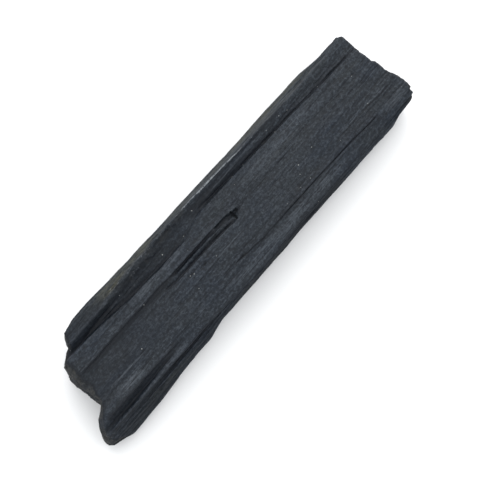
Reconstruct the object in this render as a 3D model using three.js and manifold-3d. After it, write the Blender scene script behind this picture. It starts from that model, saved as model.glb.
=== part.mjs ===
// A rod of black tourmaline lying on its broad face, in millimetres, +Z up.
// X runs along the rod, from the spurred end to the plain end, and Y runs across it.
// The origin is on the resting plane, at the middle of the rod's box.
//
// Such a rod is a bundle of thin prisms that grew side by side. Its surface is therefore a set
// of ridge and valley lines from end to end, and both of its ends are breaks across the grain.

import * as THREE from "three";
import { mergeVertices } from "three/addons/utils/BufferGeometryUtils.js";
import Module from "manifold-3d";

// Driving dimensions.
const LOFT_REACH = 44; // the ridge lines run this far each way from the middle, past both breaks
const LOFT_STEPS = 88; // cross-sections along the loft, one for each millimetre
const BREAK_LEVEL = 4; // the height at which the break outline is true
const BREAK_SLOPE = 0.09; // both breaks lean this far along X for each millimetre of height
const CUTTER_TOP = 16; // cutters reach this high, clear of the rod
const CUTTER_BOTTOM = -2; // and this low
const SCAR_FLOOR = 9.72; // the floor of the scar that a lost splinter left in the broad face
const COLOUR = 0x2b2f34;

// The crown, from the left rim (+Y) over the top to the right rim (-Y). Points are [x, y, z].
const CROWN = {
  leftRim: [
    [-44, 10.7, 5.6], [-25, 10.7, 6.0], [-21, 10.4, 6.0], [-10, 9.95, 6.2], [0.5, 9.75, 6.2],
    [22, 9.35, 6.0], [31, 9.1, 6.0], [35, 8.5, 6.0], [44, 8.3, 6.0],
  ],
  leftShoulder: [
    [-44, 9.5, 9.4], [-26, 9.5, 9.6], [-20, 9.25, 9.4], [-10, 9.0, 8.9], [11, 8.4, 8.8],
    [31, 7.8, 8.4], [36, 7.7, 8.9], [44, 7.8, 9.5],
  ],
  barCrest: [
    [-44, 7.5, 10.9], [-33, 7.45, 10.9], [-25, 7.3, 11.2], [-20, 7.9, 11.4], [-11, 8.1, 11.6],
    [-2, 7.95, 11.7], [4, 7.75, 11.6], [11, 7.3, 11.4], [22, 6.95, 11.0],
    [35, 6.8, 10.65], [44, 7.2, 10.45],
  ],
  barFoot: [
    [-44, 6.75, 9.6], [-27, 6.6, 9.6], [-20, 6.4, 9.7], [-11, 6.45, 9.9], [0, 6.5, 10.4],
    [11, 6.2, 10.35], [18, 5.95, 10.35], [27, 5.5, 10.3], [36, 5.0, 10.25], [44, 4.9, 10.2],
  ],
  valleyFloor: [
    [-44, 6.3, 9.3], [-35, 6.3, 9.3], [-27, 5.95, 9.3], [-22.5, 5.4, 9.4], [-19.8, 5.0, 9.4],
    [-9, 4.5, 9.6], [-6.3, 4.4, 9.85], [-3.6, 5.2, 10.0], [-0.9, 5.8, 9.9], [7, 5.7, 9.65],
    [20, 5.0, 9.85], [30.6, 4.35, 10.0], [44, 3.7, 10.0],
  ],
  faceLeftEdge: [
    [-44, 6.0, 10.2], [-35, 6.0, 10.2], [-27, 5.65, 10.3], [-22.5, 5.1, 10.3], [-19.8, 4.7, 10.3],
    [-9, 4.2, 10.3], [-6.3, 4.05, 10.3], [-3.6, 4.8, 10.3], [-0.9, 5.35, 10.3], [7, 5.25, 10.2],
    [20, 4.7, 10.3], [30.6, 4.05, 10.3], [44, 3.4, 10.2],
  ],
  ribRightEdge: [
    [-44, 2.65, 10.4], [-20, 2.37, 10.4], [-12, 2.1, 10.35], [0, 1.5, 10.35], [44, 1.2, 10.35],
  ],
  ribFoot: [
    [-44, 1.9, 9.85], [-20, 1.65, 9.85], [-15, 1.5, 9.85], [-8, 1.4, 10.1], [0, 1.1, 10.35],
    [44, 0.6, 10.35],
  ],
  faceMiddle: [
    [-44, -1.8, 9.9], [-20, -1.8, 9.95], [0, -1.8, 10.4], [20, -1.8, 10.5], [44, -1.8, 10.3],
  ],
  faceRight: [
    [-44, -4.2, 8.6], [-38, -4.2, 9.6], [-20, -4.2, 9.8], [0, -4.2, 10.2], [20, -4.2, 10.3],
    [44, -4.4, 10.2],
  ],
  ledge: [
    [-44, -5.7, 7.6], [-40, -5.7, 8.8], [-37, -5.9, 9.6], [-34, -6.15, 9.95], [-27, -6.15, 9.9],
    [-21.6, -6.45, 9.8], [-18, -6.75, 9.8], [-11, -6.25, 9.9], [-2, -5.7, 10.0], [9, -6.3, 10.0],
    [20, -6.6, 10.1], [33, -7.3, 9.9], [44, -7.6, 9.8],
  ],
  ledgeFoot: [
    [-44, -7.0, 6.4], [-40, -7.0, 7.6], [-37, -7.0, 8.1], [-31, -7.0, 8.3], [-27, -7.0, 8.6],
    [-21.6, -7.0, 9.2], [-18, -7.0, 9.65], [-11, -6.6, 9.75], [-2, -5.95, 9.75], [0, -6.25, 9.65],
    [9, -6.6, 9.6], [20, -6.87, 9.65], [33, -7.6, 9.45], [44, -7.9, 9.4],
  ],
  spurRib: [
    [-44, -7.7, 6.8], [-40, -7.7, 8.0], [-37, -7.75, 8.8], [-30, -7.75, 8.9], [-23, -7.5, 9.15],
    [-19, -7.35, 9.5], [0, -7.3, 9.5], [20, -7.6, 9.45], [33, -8.0, 9.25], [44, -8.2, 9.1],
  ],
  spurRibEdge: [
    [-44, -8.3, 6.8], [-40, -8.3, 7.9], [-37, -8.35, 8.7], [-20, -8.3, 8.9], [-11, -8.3, 9.25],
    [20, -8.5, 9.15], [44, -8.45, 8.95],
  ],
  spurGroove: [
    [-44, -8.65, 6.2], [-40, -8.65, 7.2], [-37, -8.7, 7.9], [-25, -8.65, 8.0], [-19, -8.6, 8.3],
    [-11, -8.6, 9.0], [0, -8.9, 9.1], [20, -8.85, 9.0], [44, -8.65, 8.8],
  ],
  rightShoulder: [
    [-44, -9.1, 6.3], [-40, -9.1, 7.2], [-37, -9.1, 8.0], [-19, -9.0, 8.3], [-11, -8.9, 8.9],
    [0, -9.3, 8.95], [9, -9.1, 9.0], [29, -9.3, 8.7], [36, -9.3, 8.5], [44, -9.5, 8.5],
  ],
  rightRim: [
    [-44, -10.7, 3.0], [-37, -10.7, 3.0], [-30, -10.55, 3.4], [-24, -10.15, 3.6], [-19, -10.0, 3.8],
    [-16, -10.1, 3.8], [-14.6, -9.95, 3.8], [-12.8, -9.5, 3.9], [9, -9.65, 4.0], [27, -10.05, 4.0],
    [36, -10.25, 4.0], [37, -9.55, 4.6], [44, -9.8, 7.2],
  ],
};

// The underside, from the right rim back to the left one. Its lands at z 0 carry the rod.
const UNDERSIDE = {
  rightKeel: [[-44, -9.6, 0.9], [-12, -8.7, 1.2], [44, -8.4, 1.3]],
  rightLand: [[-44, -7.6, 0], [44, -7.0, 0]],
  rightLandEdge: [[-44, -4.6, 0], [44, -4.0, 0]],
  rightFlute: [[-44, -4.0, 0.45], [44, -3.5, 0.45]],
  middleLandEdge: [[-44, -3.5, 0], [44, -3.1, 0]],
  middleLand: [[-44, 0.9, 0], [44, 0.6, 0]],
  middleFlute: [[-44, 1.8, 0.6], [44, 1.3, 0.6]],
  leftLandEdge: [[-44, 2.4, 0], [44, 1.8, 0]],
  leftLand: [[-44, 6.6, 0], [44, 5.2, 0]],
  leftKeel: [[-44, 8.9, 1.7], [0, 8.1, 1.5], [44, 6.7, 1.6]],
  leftStep: [[-44, 9.7, 3.6], [0, 8.9, 3.6], [44, 7.4, 3.4]],
  leftStepEdge: [[-44, 10.3, 4.0], [0, 9.3, 4.1], [44, 7.7, 3.9]],
};

// Both breaks as one outline seen from above, [x, y] at BREAK_LEVEL. Beside the rod the outline
// runs clear of it.
const BREAK_OUTLINE = [
  [-27.6, 12], [-28.9, 10.8], [-31.2, 10.3], [-32.5, 9.6], [-33.3, 8.5], [-33.8, 7.4], [-35.1, 7.1],
  [-35.6, 6.5], [-36.7, 6.0], [-37.1, 4.9], [-37.4, 1.3], [-37.1, -3.1], [-37.9, -3.6],
  [-39.5, -4.5], [-40.7, -5.8], [-41.3, -7.2], [-41.4, -8.3], [-40.8, -9.05], [-39.2, -9.6],
  [-37.7, -10.3], [-36.6, -12], [41.0, -12], [41.1, -9.9], [41.15, -8.6], [41.15, -6.4], [40.4, -2.7],
  [40.15, 1.2], [39.9, 2.7], [40.1, 4.1], [40.05, 5.5], [39.9, 7.0], [39.85, 7.8], [39.6, 12],
];

// The splinter's scar seen from above, [x, y].
const SCAR_OUTLINE = [
  [-15.2, 0.95], [-11.2, 0.62], [-3.6, 0.25], [2.9, -0.2], [3.3, 0.3], [3.9, 0.8], [3.2, 1.32],
  [-1.8, 1.58], [-7.2, 1.88], [-11.5, 2.0],
];

const wasm = await Module();
wasm.setup();

// Where a ridge line stands at x, between the two of its points on either side.
function lineAt(points, x) {
  const last = points.length - 1;
  const next = Math.min(Math.max(points.findIndex((p) => p[0] >= x), 1), last);
  const [from, to] = [points[next - 1], points[next]];
  const share = THREE.MathUtils.clamp((x - from[0]) / (to[0] - from[0]), 0, 1);
  return new THREE.Vector3(...from).lerp(new THREE.Vector3(...to), share).setX(x);
}

// A closed skin through the ridge lines, with flat ends.
function loftGeometry(lines, reach, steps) {
  const points = [];
  for (let step = 0; step <= steps; step++) {
    const x = THREE.MathUtils.lerp(-reach, reach, step / steps);
    lines.forEach((line) => points.push(lineAt(line, x)));
  }
  const count = lines.length;
  const faces = [];
  for (let step = 0; step < steps; step++) {
    for (let i = 0; i < count; i++) {
      const here = step * count + i;
      const beside = step * count + ((i + 1) % count);
      faces.push(here, beside, here + count, beside, beside + count, here + count);
    }
  }
  const section = points.slice(0, count).map((p) => new THREE.Vector2(p.y, p.z));
  const far = points.slice(-count).map((p) => new THREE.Vector2(p.y, p.z));
  THREE.ShapeUtils.triangulateShape(section, []).forEach(([a, b, c]) => faces.push(a, c, b));
  THREE.ShapeUtils.triangulateShape(far, []).forEach((face) =>
    faces.push(...face.map((i) => i + steps * count)),
  );
  return new THREE.BufferGeometry().setFromPoints(points).setIndex(faces);
}

// An outline seen from above, raised into an upright block.
function blockGeometry(outline, bottom, top) {
  const shape = new THREE.Shape(outline.map(([x, y]) => new THREE.Vector2(x, y)));
  const options = { depth: top - bottom, bevelEnabled: false };
  return new THREE.ExtrudeGeometry(shape, options).translate(0, 0, bottom);
}

// A closed geometry as a solid that can be cut.
function solidOf(geometry) {
  geometry.deleteAttribute("normal");
  geometry.deleteAttribute("uv");
  const merged = mergeVertices(geometry, 1e-4);
  const vertProperties = merged.attributes.position.array;
  const triVerts = new Uint32Array(merged.index.array);
  return new wasm.Manifold(new wasm.Mesh({ numProp: 3, vertProperties, triVerts }));
}

function geometryOf(solid) {
  const { vertProperties, triVerts } = solid.getMesh();
  return new THREE.BufferGeometry()
    .setAttribute("position", new THREE.BufferAttribute(vertProperties, 3))
    .setIndex(new THREE.BufferAttribute(triVerts, 1));
}

// The whole length of grain between the two breaks.
function brokenRod() {
  const lines = [...Object.values(CROWN), ...Object.values(UNDERSIDE)];
  const grain = solidOf(loftGeometry(lines, LOFT_REACH, LOFT_STEPS));
  const breaks = blockGeometry(BREAK_OUTLINE, CUTTER_BOTTOM, CUTTER_TOP)
    .translate(0, 0, -BREAK_LEVEL)
    .applyMatrix4(new THREE.Matrix4().makeShear(0, 0, 0, 0, BREAK_SLOPE, 0))
    .translate(0, 0, BREAK_LEVEL);
  return grain.intersect(solidOf(breaks));
}

const scar = solidOf(blockGeometry(SCAR_OUTLINE, SCAR_FLOOR, CUTTER_TOP));
const material = new THREE.MeshStandardMaterial({ color: COLOUR, roughness: 0.55, metalness: 0 });
const crystal = new THREE.Mesh(geometryOf(brokenRod().subtract(scar)), material);
crystal.name = "tourmaline_crystal";

const group = new THREE.Group();
group.add(crystal);
export default group;
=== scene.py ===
"""A rod of black tourmaline lying on its broad face: its skin, its finish and a plain studio.

The rod is a bundle of thin prisms grown side by side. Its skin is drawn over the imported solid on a
fine lattice that follows the grain, and then carries the grooves, laths, chips and breaks that are
too fine for the solid. Lengths are in millimetres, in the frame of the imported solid, and turn into
metres where a mesh, a light or the camera is written.
"""

import logging
import math
from dataclasses import dataclass, field
from enum import Enum

import bmesh
import bpy
import numpy as np
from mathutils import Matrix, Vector
from mathutils.bvhtree import BVHTree

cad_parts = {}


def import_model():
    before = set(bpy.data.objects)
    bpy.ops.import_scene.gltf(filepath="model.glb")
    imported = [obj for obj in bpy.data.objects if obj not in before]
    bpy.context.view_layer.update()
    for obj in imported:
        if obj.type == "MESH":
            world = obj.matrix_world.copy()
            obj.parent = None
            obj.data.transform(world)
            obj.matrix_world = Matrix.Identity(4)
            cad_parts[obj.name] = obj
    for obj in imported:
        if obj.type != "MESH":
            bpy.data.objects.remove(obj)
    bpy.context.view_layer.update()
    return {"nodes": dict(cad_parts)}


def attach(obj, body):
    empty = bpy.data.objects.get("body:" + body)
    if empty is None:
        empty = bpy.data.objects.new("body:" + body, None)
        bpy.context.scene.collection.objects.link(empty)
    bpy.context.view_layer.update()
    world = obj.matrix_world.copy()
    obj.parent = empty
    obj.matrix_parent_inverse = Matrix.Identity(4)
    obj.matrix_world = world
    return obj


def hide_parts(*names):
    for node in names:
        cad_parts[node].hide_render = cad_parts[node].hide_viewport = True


log = logging.getLogger("tourmaline")

MM = 0.001
NODE = "tourmaline_crystal"
BODY = "root"

Array = np.ndarray
Place = tuple[float, float]
Triple = tuple[float, float, float]
Socket = bpy.types.NodeSocket


def linear(colour: str) -> tuple[float, ...]:
    """Turns six hex digits of sRGB into linear red, green and blue, with an alpha of 1."""
    parts = [int(colour[i : i + 2], 16) / 255 for i in (0, 2, 4)]
    return (*(p / 12.92 if p <= 0.04045 else ((p + 0.055) / 1.055) ** 2.4 for p in parts), 1.0)


def ease(low: float | Array, high: float | Array, value: Array) -> Array:
    """Rises smoothly from 0 at low to 1 at high, or falls where high is below low."""
    share = np.clip((value - low) / (high - low), 0.0, 1.0)
    return share * share * (3.0 - 2.0 * share)


def span(start: float, end: float, inside: float, outside: float, value: Array) -> Array:
    """Gives 1 between two ends, and fades over a length inside and a length outside each."""
    return ease(start - outside, start + inside, value) * ease(end + outside, end - inside, value)


def bell(spread: float, widths: float) -> Array:
    """Gives the weights of a bell curve, which add up to 1.

    Args:
        spread: The curve's standard deviation, in steps.
        widths: How many spreads it reaches to each side.

    Returns:
        One weight for each step, with the middle one at the curve's top.
    """
    reach = math.ceil(widths * spread)
    weights = np.exp(-0.5 * (np.arange(-reach, reach + 1) / spread) ** 2)
    return weights / weights.sum()


def soften(values: Array, spread: float) -> Array:
    """Smooths each row of values along its length, and keeps its slope at both ends.

    Args:
        values: Rows of evenly spaced values.
        spread: The smoothing's standard deviation, in steps.

    Returns:
        The smoothed rows.
    """
    weights = bell(spread, 3)
    reach = len(weights) // 2
    head = 2 * values[:, :1] - values[:, reach:0:-1]
    tail = 2 * values[:, -1:] - values[:, -2 : -reach - 2 : -1]
    padded = np.concatenate([head, values, tail], axis=1)
    return np.apply_along_axis(np.convolve, 1, padded, weights, "valid")


class ValueNoise:
    """Seeded lattice noise in three dimensions, from -1 to 1."""

    TABLE = 4096
    PRIMES = np.array((73856093, 19349663, 83492791))
    APART = 17.3

    def __init__(self, seed: int) -> None:
        """Fills the table of lattice values for a seed."""
        self.table = np.random.default_rng(seed).uniform(-1, 1, self.TABLE)

    def _corner(self, cell: Array) -> Array:
        """Looks up the value that belongs to each lattice corner."""
        mixed = np.moveaxis(cell * self.PRIMES, -1, 0)
        return self.table[(mixed[0] ^ mixed[1] ^ mixed[2]) & (self.TABLE - 1)]

    def _single(self, scaled: Array) -> Array:
        """Reads one layer of the noise.

        Args:
            scaled: Points with x, y and z last, in sizes of a feature.

        Returns:
            One value for each point.
        """
        cell = np.floor(scaled).astype(np.int64)
        share = scaled - cell
        share = share * share * (3 - 2 * share)
        total = np.zeros(scaled.shape[:-1])
        for corner in np.ndindex(2, 2, 2):
            weight = np.prod(np.where(np.array(corner) == 1, share, 1 - share), axis=-1)
            total += weight * self._corner(cell + corner)
        return total

    def layers(self, places: Array, sizes: Triple, count: int = 1) -> Array:
        """Adds finer and weaker layers of the noise.

        Args:
            places: Points with x, y and z last.
            sizes: The size of the coarsest features along x, y and z.
            count: How many layers, each half the size and half the height of the last.

        Returns:
            One value for each point.
        """
        total = np.zeros(places.shape[:-1])
        for layer in range(count):
            shrink = 0.5**layer
            total += shrink * self._single((places + layer * self.APART) / (np.array(sizes) * shrink))
        return total


class Side(Enum):
    """The four long sides of the rod. The value is the outward direction as (y, z)."""

    TOP = (0, 1)
    LEFT = (1, 0)
    RIGHT = (-1, 0)
    UNDER = (0, -1)


class Form(Enum):
    """The shape of a mark across the grain. A step falls towards the side that it names."""

    GROOVE = "groove"
    RIDGE = "ridge"
    STEP_LEFT = "step left"
    STEP_RIGHT = "step right"


TOP, LEFT, RIGHT, UNDER = Side
GROOVE, RIDGE, STEP_LEFT, STEP_RIGHT = Form


@dataclass(frozen=True)
class GrainMark:
    """A line along the grain at which the surface is cut, raised or stepped.

    Attributes:
        side: The side of the rod that it lies on.
        form: Its shape across the grain.
        path: Points (x, offset), where offset is y on the top and underside and z on the flanks.
        width: Half its width.
        depth: How deep, or how high for a ridge.
        taper: The length over which it fades out at each end.
        reach: How far a step takes to climb back.
    """

    side: Side
    form: Form
    path: tuple[Place, ...]
    width: float
    depth: float
    taper: float = 2.0
    reach: float = 1.2

    def height(self, x: Array, offset: Array) -> Array:
        """Gives what the mark adds to the surface at each place.

        Args:
            x: Places along the rod.
            offset: Places across the side.

        Returns:
            The added height, which is negative in a cut.
        """
        stations, line = np.array(self.path).T
        away = offset - np.interp(x, stations, line)
        if self.form in (STEP_LEFT, STEP_RIGHT):
            away = away if self.form is STEP_LEFT else -away
            across = ease(0, self.width, away) * np.exp(-np.maximum(away - self.width, 0) / self.reach)
        else:
            across = np.clip(1 - np.abs(away) / self.width, 0, 1) ** 1.2
        sign = 1 if self.form is RIDGE else -1
        along = span(stations[0], stations[-1], self.taper, 0.05, x)
        return sign * self.depth * along * across


@dataclass(frozen=True)
class Zone:
    """A soft-edged area of one side.

    Attributes:
        side: The side of the rod that it lies on.
        start: Its lowest x and offset.
        end: Its highest x and offset.
        fade: The width of its soft edge along the grain and across it.
        strength: Its value inside.
    """

    side: Side
    start: Place
    end: Place
    fade: Place
    strength: float = 1.0

    def share(self, x: Array, offset: Array) -> Array:
        """Gives the zone's strength at each place.

        Args:
            x: Places along the rod.
            offset: Places across the side.

        Returns:
            From 0 outside to the zone's strength inside.
        """
        ends = zip(self.start, self.end, self.fade, (x, offset))
        along, across = (span(start, end, fade, fade, place) for start, end, fade, place in ends)
        return self.strength * along * across


@dataclass(frozen=True)
class Band:
    """A soft-edged line along the grain, along which the finish changes.

    Attributes:
        side: The side of the rod that it lies on.
        path: Points (x, offset, half width).
        strength: Its value on the line.
        taper: The length over which it fades out at each end.
        edge: The width of its soft edges.
    """

    side: Side
    path: tuple[Triple, ...]
    strength: float = 1.0
    taper: float = 2.0
    edge: float = 0.15

    def share(self, x: Array, offset: Array) -> Array:
        """Gives the band's strength at each place.

        Args:
            x: Places along the rod.
            offset: Places across the side.

        Returns:
            From 0 outside to the band's strength on its line.
        """
        stations, line, half = np.array(self.path).T
        away = np.abs(offset - np.interp(x, stations, line)) - np.interp(x, stations, half)
        along = span(stations[0], stations[-1], self.taper, 0.1, x)
        return self.strength * along * ease(self.edge, -self.edge, away)


@dataclass(frozen=True)
class Chip:
    """A small scoop where a flake has come away.

    Attributes:
        side: The side of the rod that it lies on.
        centre: Its middle (x, offset).
        half: Half its length along the grain and half its width across.
        depth: How deep it is in the middle.
    """

    side: Side
    centre: Place
    half: Place
    depth: float

    def share(self, x: Array, offset: Array) -> Array:
        """Gives how far inside the chip each place is.

        Args:
            x: Places along the rod.
            offset: Places across the side.

        Returns:
            From 0 outside to 1 in the middle.
        """
        along = (x - self.centre[0]) / self.half[0]
        across = (offset - self.centre[1]) / self.half[1]
        return np.clip(1.15 - along**2 - across**2, 0, 1)


@dataclass(frozen=True)
class Lattice:
    """The counts of cells in the skin: along the rod, across it and up it."""

    along: int = 252
    across: int = 136
    up: int = 38

    @property
    def ring(self) -> int:
        """The count of grain lines around the rod."""
        return 2 * (self.across + self.up)

    def shell(self) -> bpy.types.Mesh:
        """Cuts a cube's skin into the lattice's cells.

        Returns:
            The skin's mesh, with corners at -1 and 1.
        """
        bm = bmesh.new()
        bmesh.ops.create_cube(bm, size=2.0)
        for axis, cells in enumerate((self.along, self.across, self.up)):
            edges = [e for e in bm.edges if e.verts[0].co[axis] != e.verts[1].co[axis]]
            bmesh.ops.subdivide_edges(bm, edges=edges, cuts=cells - 1, use_grid_fill=True)
        mesh = bpy.data.meshes.new("tourmaline_rod")
        bm.to_mesh(mesh)
        bm.free()
        return mesh

    def ring_index(self, across: Array, up: Array) -> Array:
        """Numbers the grain lines, from the left corner over the top.

        Args:
            across: Whole numbers of cells from the right.
            up: Whole numbers of cells from the bottom.

        Returns:
            The number of the grain line at each place.
        """
        n, m = self.across, self.up
        number = np.where(across == n, 2 * n + m + up, 0)
        number = np.where(up == 0, n + m + across, number)
        number = np.where(across == 0, n + m - up, number)
        return np.where(up == m, n - across, number) % self.ring

    def ring_places(self) -> tuple[Array, Array]:
        """Gives each grain line's place on the square of -1 to 1.

        Returns:
            The places across and up.
        """
        n, m = self.across, self.up
        flat, upright = np.linspace(-1, 1, n + 1), np.linspace(-1, 1, m + 1)
        across = [flat[:0:-1], -np.ones(m), flat[:-1], np.ones(m)]
        up = [np.ones(n), upright[:0:-1], -np.ones(n), upright[:-1]]
        return np.concatenate(across), np.concatenate(up)


class PackedSolid:
    """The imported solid, ready to be measured with rays."""

    FAR = 60.0

    def __init__(self, node: bpy.types.Object) -> None:
        """Copies the node's mesh, merges the copy and indexes it.

        Args:
            node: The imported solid's object.
        """
        bm = bmesh.new()
        bm.from_mesh(node.data)
        bmesh.ops.remove_doubles(bm, verts=bm.verts, dist=1e-6)
        bmesh.ops.scale(bm, vec=(1 / MM,) * 3, verts=bm.verts)
        self.tree = BVHTree.FromBMesh(bm)
        bm.free()

    def hit(self, origin: Array | Triple, direction: Array | Triple, reach: float = FAR) -> Place:
        """Casts one ray.

        Args:
            origin: Where it starts.
            direction: Where it points, of length 1.
            reach: How far it may go.

        Returns:
            The distance to the surface and how far the surface faces along X, or nan for both.
        """
        _, facing, _, distance = self.tree.ray_cast(Vector(origin), Vector(direction), reach)
        return (math.nan, math.nan) if distance is None else (distance, abs(facing[0]))


class BreakFace:
    """One of the rod's broken ends: x as a function of y and z, with an even lean."""

    HEIGHTS = np.array((2.5, 3.5, 4.5, 5.5, 6.5, 7.5))
    MIDDLE = 5.0
    STEP = 0.05
    FACING = 0.25

    def __init__(self, solid: PackedSolid, towards: int, reach: float) -> None:
        """Measures the face along several heights.

        Args:
            solid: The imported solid.
            towards: 1 for the plain end and -1 for the spurred end.
            reach: Half the width that is measured.
        """
        self.across = np.arange(-reach, reach + self.STEP, self.STEP)
        rows = np.array([self._row(solid, towards, height) for height in self.HEIGHTS])
        rise = self.HEIGHTS[:, None] - self.MIDDLE
        self.lean = float(np.nanmedian(np.diff(rows, axis=0) / np.diff(rise, axis=0)))
        level = rows - self.lean * rise
        known = ~np.all(np.isnan(level), axis=0)
        self.face = np.interp(self.across, self.across[known], np.nanmedian(level[:, known], axis=0))

    def _row(self, solid: PackedSolid, towards: int, height: float) -> list[float]:
        """Measures the face's x along one height, and leaves out rays that met a flank.

        Args:
            solid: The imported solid.
            towards: 1 for the plain end and -1 for the spurred end.
            height: The height of the rays.

        Returns:
            The face's x at each place across, or nan.
        """
        hits = [solid.hit((towards * solid.FAR, y, height), (-towards, 0, 0)) for y in self.across]
        return [towards * (solid.FAR - gone) if lean > self.FACING else math.nan for gone, lean in hits]

    def at(self, y: Array, z: Array) -> Array:
        """Gives the face's x at each place of the section."""
        return np.interp(y, self.across, self.face) + self.lean * (z - self.MIDDLE)


@dataclass
class GrainSkin:
    """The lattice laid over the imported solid, along the grain.

    Attributes:
        solid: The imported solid.
        lattice: The counts of cells.
        left_reach: The stations between which the left flank is grain and not a break.
        right_reach: The same for the right flank.
        whole: Stations near both ends at which every grain line is still whole.
        spine_height: The height of the spine that the rays point at.
        spine_inset: How far inside each flank the spine ends.
        half_height: Half the height of the box that spreads the rays.
        clear: How far from the spine the rays start.
        length: The rod's length, between both breaks.
        soft_length: The length over which the solid's stations are smoothed.
        stations: The count of stations along each grain line.
        rim_stations: The count of stations along each flank.
        rim_spread: The smoothing of each flank's stations, as a standard deviation in steps.
    """

    solid: PackedSolid
    lattice: Lattice
    left_reach: Place = (-28.0, 39.0)
    right_reach: Place = (-37.0, 39.8)
    whole: Place = (-25.0, 35.0)
    spine_height: float = 5.2
    spine_inset: float = 2.9
    half_height: float = 4.6
    clear: float = 14.0
    length: float = 83.0
    soft_length: float = 0.5
    stations: int = 210
    rim_stations: int = 140
    rim_spread: float = 6.0

    def __post_init__(self) -> None:
        """Measures the flanks and both breaks, and lays every grain line."""
        self.across, self.up = self.lattice.ring_places()
        self.breaks = (BreakFace(self.solid, -1, 10.6), BreakFace(self.solid, 1, 9.8))
        self.left, self.right = self._rim(self.left_reach, 1), self._rim(self.right_reach, -1)
        start, end = self._end(0), self._end(1)
        share = np.linspace(0, 1, self.stations)
        stations = start[:, None] + (end - start)[:, None] * share
        laid = np.array([[self._ray(i, x) for x in row] for i, row in enumerate(stations)])
        for row in laid:
            self._mend(row)
        spread = self.soft_length / (self.length / self.stations)
        self.even = [stations] + [soften(laid[..., part], spread) for part in (0, 1)]

    def _rim(self, reach: Place, towards: int) -> tuple[Array, Array]:
        """Measures one flank along its grain.

        Args:
            reach: The first and the last station.
            towards: 1 for the left flank and -1 for the right one.

        Returns:
            The stations, and the flank's smoothed y at each.
        """
        stations, far = np.linspace(*reach, self.rim_stations), towards * self.solid.FAR
        hits = [self.solid.hit((x, far, self.spine_height), (0, -towards, 0)) for x in stations]
        row = [far - towards * distance for distance, _ in hits]
        return stations, soften(np.array([row]), self.rim_spread)[0]

    def _ray(self, line: int, x: float) -> Place:
        """Finds one grain line's place at a station, by a ray from outside towards the spine.

        Args:
            line: The number of the grain line.
            x: The station.

        Returns:
            y and z, or nan for both where the ray misses.
        """
        left, right = float(np.interp(x, *self.left)), float(np.interp(x, *self.right))
        y = right + (left - right) * (self.across[line] + 1) / 2
        inner = min(max(y, right + self.spine_inset), left - self.spine_inset)
        direction = np.array([0.0, y - inner, self.half_height * self.up[line]])
        direction /= np.linalg.norm(direction)
        foot = np.array([x, inner, self.spine_height])
        distance, _ = self.solid.hit(foot + direction * self.clear, -direction, self.clear)
        point = foot + direction * (self.clear - distance)
        return float(point[1]), float(point[2])

    def _mend(self, row: Array) -> None:
        """Fills the places of one grain line that its rays missed.

        Args:
            row: The line's y and z at each station, which are changed in place.
        """
        steps = np.arange(len(row))
        known = ~np.isnan(row[:, 0])
        for part in (0, 1):
            row[:, part] = np.interp(steps, steps[known], row[known, part])

    def _end(self, which: int) -> Array:
        """Finds where every grain line meets a break.

        Args:
            which: 0 for the spurred end and 1 for the plain end.

        Returns:
            The x of each line's end.
        """
        inward = (0.06, -0.06)[which]
        place = np.array([self._ray(i, self.whole[which]) for i in range(self.lattice.ring)])
        for _ in range(4):
            x = self.breaks[which].at(*place.T)
            found = np.array([self._ray(i, station + inward) for i, station in enumerate(x)])
            place = np.where(np.isnan(found), place, found)
        return self.breaks[which].at(*place.T)

    def at(self, share: Array) -> Array:
        """Gives the skin at shares of every grain line's length, from 0 at the spurred end."""
        steps = np.linspace(0, 1, self.stations)
        return np.array([[np.interp(share, steps, row) for row in part] for part in self.even])


def on(side: Side, kind: type, *rows: tuple) -> tuple:
    """Makes the marks of one kind that lie on one side, each from a row of its other values."""
    return tuple(kind(side, *row) for row in rows)


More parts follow.
